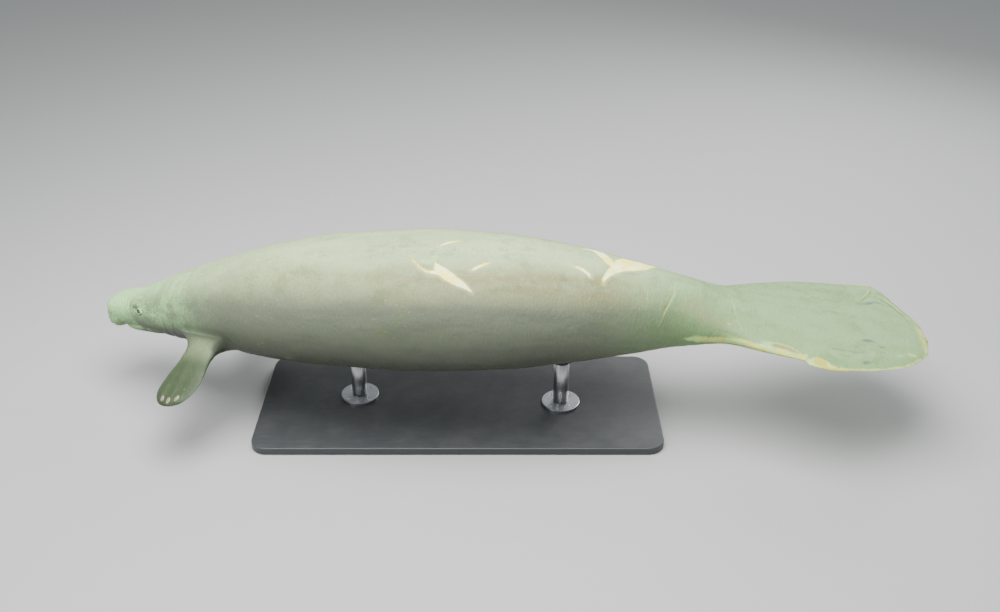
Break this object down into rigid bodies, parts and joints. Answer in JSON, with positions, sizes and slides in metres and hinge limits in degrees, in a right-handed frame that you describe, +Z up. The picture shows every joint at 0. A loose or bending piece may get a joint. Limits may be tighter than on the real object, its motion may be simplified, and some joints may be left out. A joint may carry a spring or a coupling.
{
  "type": "manatee display model",
  "caption": "Life-size still model of a swimming manatee with a rounded tail paddle and spread flippers, held by short rods over a flat base.",
  "frame": {"origin": "centre of the underside of the stand's base, on the floor", "axes": "+X from the head to the tail, +Y to the animal's right side, +Z up"},
  "size_m": [2.9697, 0.8508, 0.6867],
  "materials": {
    "skin": "damp grey-brown hide with pale scars and a thin film of algae",
    "eye": "dark, wet and glossy",
    "horn": "smooth pale horn, of the nails and bristles",
    "stand_board": "satin dark grey paint",
    "stand_rod": "brushed along its length",
    "stand_pad": "matt black rubber"
  },
  "bodies": {
    "root": {"muzzle": "skin", "head": "skin", "lower_jaw": "skin", "neck": "skin", "torso_front": "skin", "torso_middle": "skin", "torso_rear": "skin", "tail_stock": "skin", "tail_paddle": "skin", "flipper_left": "skin", "flipper_right": "skin", "eye_left": "eye", "eye_right": "eye", "nail_left_1": "horn", "nail_left_2": "horn", "nail_left_3": "horn", "nail_right_1": "horn", "nail_right_2": "horn", "nail_right_3": "horn", "stand_base": "stand_board", "stand_foot_front": "stand_rod", "stand_foot_rear": "stand_rod", "stand_rod_front": "stand_rod", "stand_rod_rear": "stand_rod", "stand_pad_front": "stand_pad", "stand_pad_rear": "stand_pad"}
  },
  "joints": []
}
